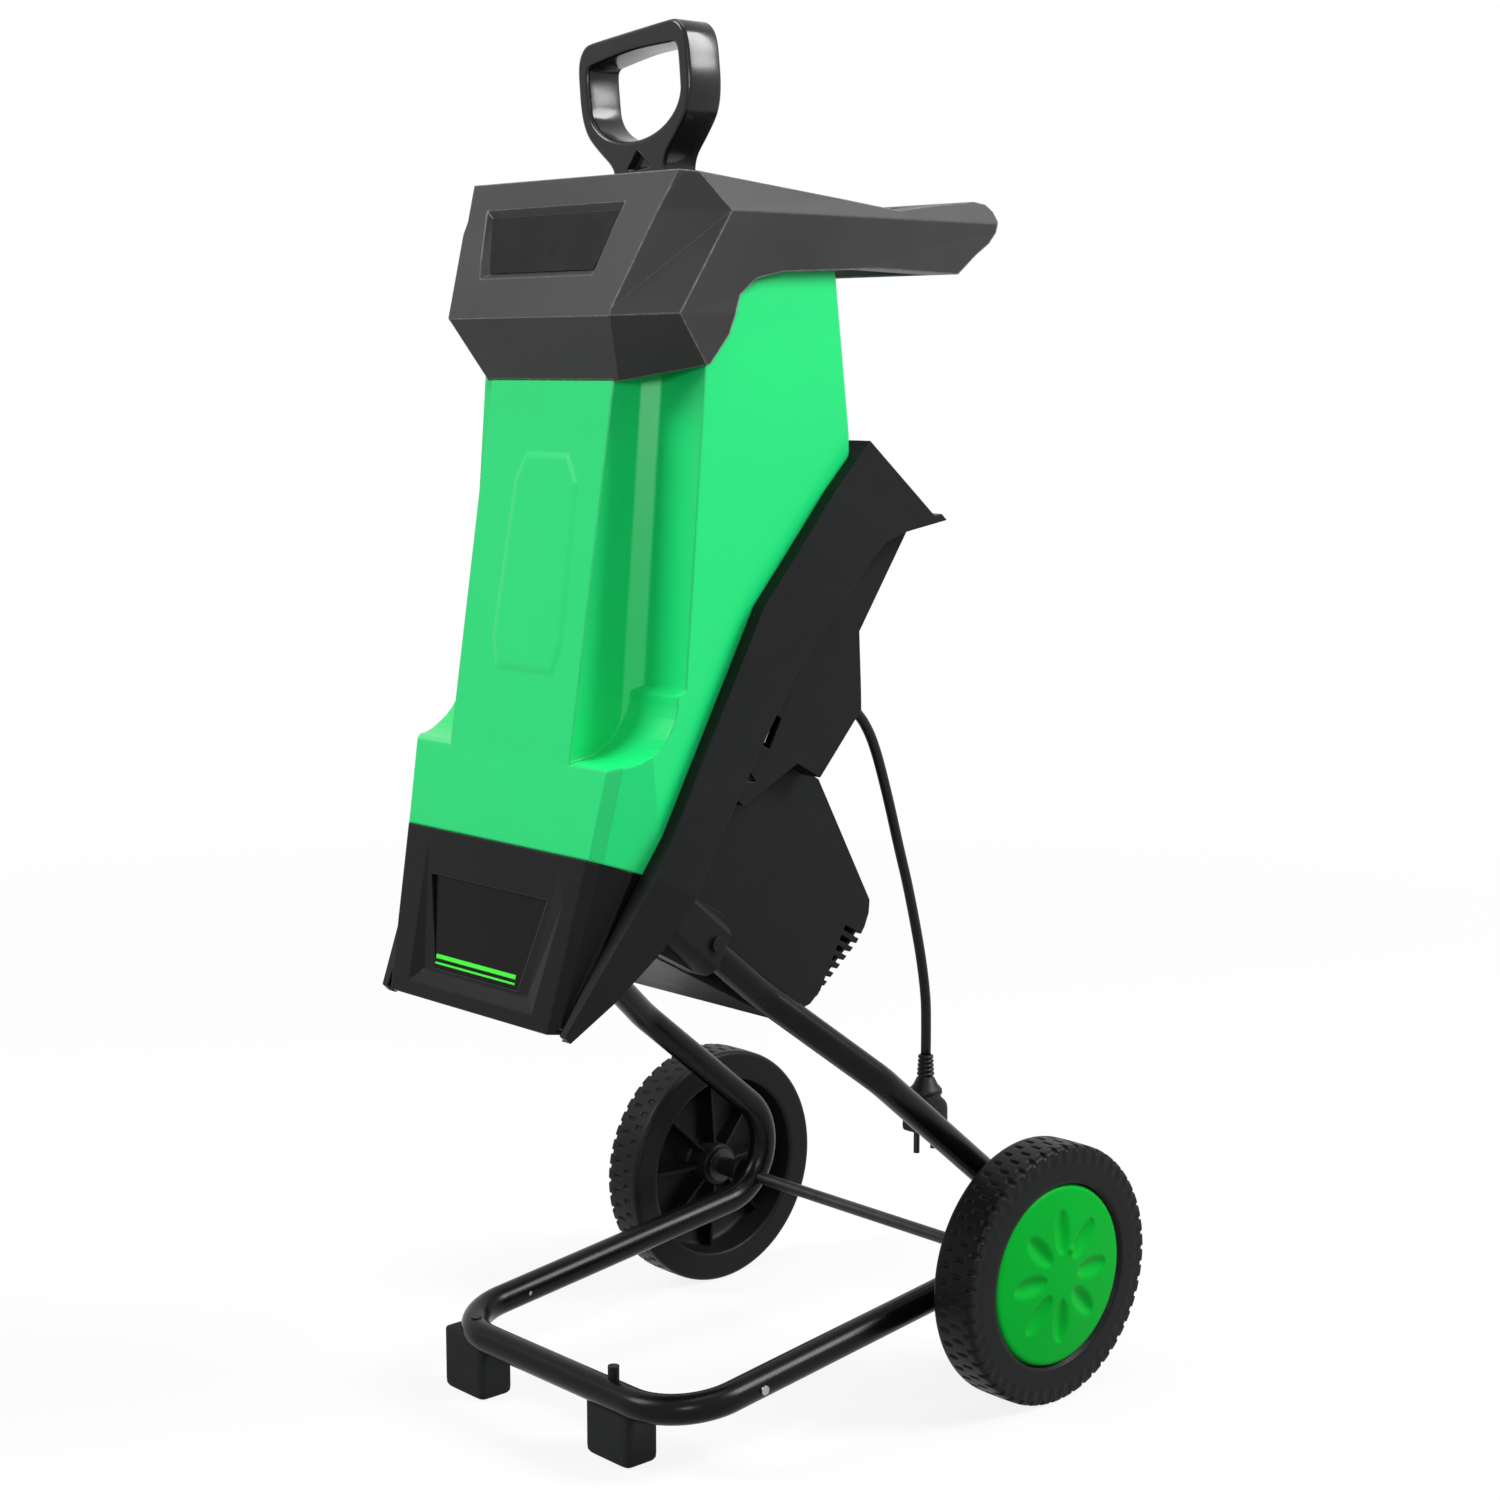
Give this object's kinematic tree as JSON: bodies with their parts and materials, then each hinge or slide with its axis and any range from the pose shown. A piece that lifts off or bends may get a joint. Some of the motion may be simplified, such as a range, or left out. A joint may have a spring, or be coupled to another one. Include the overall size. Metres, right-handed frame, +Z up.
{
  "type": "electric garden shredder",
  "caption": "Upright electric wood chipper: tilting feed hopper with a push stick over a slanted motor and cutter housing, on a tube stand with wheels.",
  "frame": {"origin": "on the ground under the middle of the part without its cord", "axes": "+Z up, -Y to the front where the hopper's panel faces, +X to the right seen from the front"},
  "size_m": [0.4238, 0.4954, 1.0156],
  "materials": {
    "tube_black": "gloss black enamel",
    "housing_black": "fine-grained satin",
    "hopper_green": "smooth moulded",
    "collar_black": "satin with light edge scuffs",
    "wheel_black": "moulded tread",
    "cap_green": "smooth moulded",
    "foot_rubber": "matt",
    "grip_black": "semi-gloss",
    "zinc": "zinc plated",
    "dark_steel": "oxide finish",
    "blade_steel": "ground",
    "motor_metal": "cast and machined",
    "cord_rubber": "satin",
    "pin_metal": "nickel plated",
    "badge_black": "bare panel",
    "stripe_green": "bright",
    "switch_green": "smooth",
    "switch_red": "smooth",
    "inner_plastic": "plain"
  },
  "bodies": {
    "stand": {"left_side_tube": "tube_black", "right_side_tube": "tube_black", "front_bar": "tube_black", "left_foot": "foot_rubber", "right_foot": "foot_rubber", "foot_pegs": "housing_black", "joint_screws": "zinc", "leg_screws": "dark_steel", "axle": "dark_steel", "axle_sleeves": "zinc", "axle_nuts": "zinc", "motor_housing": "housing_black", "vent_cover": "housing_black", "side_clips": "zinc", "motor_plate": "motor_metal", "motor_can": "motor_metal", "front_bearing": "zinc", "rear_bearing": "zinc", "switch_box": "inner_plastic", "cord_gland": "cord_rubber", "power_cord": "cord_rubber", "plug_body": "cord_rubber", "plug_pins": "pin_metal", "cover_screws": "zinc", "plate_screws": "zinc"},
    "left_wheel": {"left_wheel": "wheel_black", "left_hub_cap": "cap_green"},
    "right_wheel": {"right_wheel": "wheel_black", "right_hub_cap": "cap_green"},
    "rotor": {"drive_shaft": "blade_steel", "cutter_disc": "dark_steel", "cutter_blades": "blade_steel", "blade_screws": "dark_steel", "disc_bolt": "dark_steel", "cooling_fan": "inner_plastic"},
    "hopper": {"hopper_shell": "hopper_green", "hopper_collar": "collar_black", "collar_badge_plate": "badge_black", "front_shroud": "collar_black", "shroud_badge_plate": "badge_black", "shroud_stripes": "stripe_green", "hopper_floor": "inner_plastic", "hinge_rod": "zinc"},
    "push_stick": {"push_stick": "grip_black", "push_handle": "grip_black"},
    "knob": {"locking_knob": "grip_black", "knob_bolt": "zinc"},
    "on_button": {"on_button": "switch_green"},
    "off_button": {"off_button": "switch_red"},
    "reset_button": {"reset_button": "housing_black"}
  },
  "joints": [
    {"name": "left_wheel_spin", "type": "hinge", "parent": "stand", "child": "left_wheel", "pos_m": [-0.1887, 0.1477, 0.1], "axis": [1, 0, 0], "continuous": true},
    {"name": "right_wheel_spin", "type": "hinge", "parent": "stand", "child": "right_wheel", "pos_m": [0.1887, 0.1477, 0.1], "axis": [1, 0, 0], "continuous": true},
    {"name": "rotor_spin", "type": "hinge", "parent": "stand", "child": "rotor", "pos_m": [0, -0.14944, 0.46907], "axis": [0, 0.8746, -0.4848], "continuous": true},
    {"name": "hopper_tilt", "type": "hinge", "parent": "stand", "child": "hopper", "pos_m": [0, -0.24085, 0.33509], "axis": [1, 0, 0], "range_deg": [0, 70]},
    {"name": "push_stick_lift", "type": "slide", "parent": "hopper", "child": "push_stick", "axis": [0, 0, 1], "range_m": [0, 0.25]},
    {"name": "knob_turn", "type": "hinge", "parent": "stand", "child": "knob", "pos_m": [0, 0.04525, 0.7316], "axis": [0, 0.8746, -0.4848], "continuous": true},
    {"name": "on_button_press", "type": "slide", "parent": "stand", "child": "on_button", "axis": [0, -0.8746, 0.4848], "range_m": [0, 0.003], "stiffness_N_per_m": 400},
    {"name": "off_button_press", "type": "slide", "parent": "stand", "child": "off_button", "axis": [0, -0.8746, 0.4848], "range_m": [0, 0.003], "stiffness_N_per_m": 400},
    {"name": "reset_button_press", "type": "slide", "parent": "stand", "child": "reset_button", "axis": [0, -0.8746, 0.4848], "range_m": [0, 0.003], "stiffness_N_per_m": 400}
  ]
}
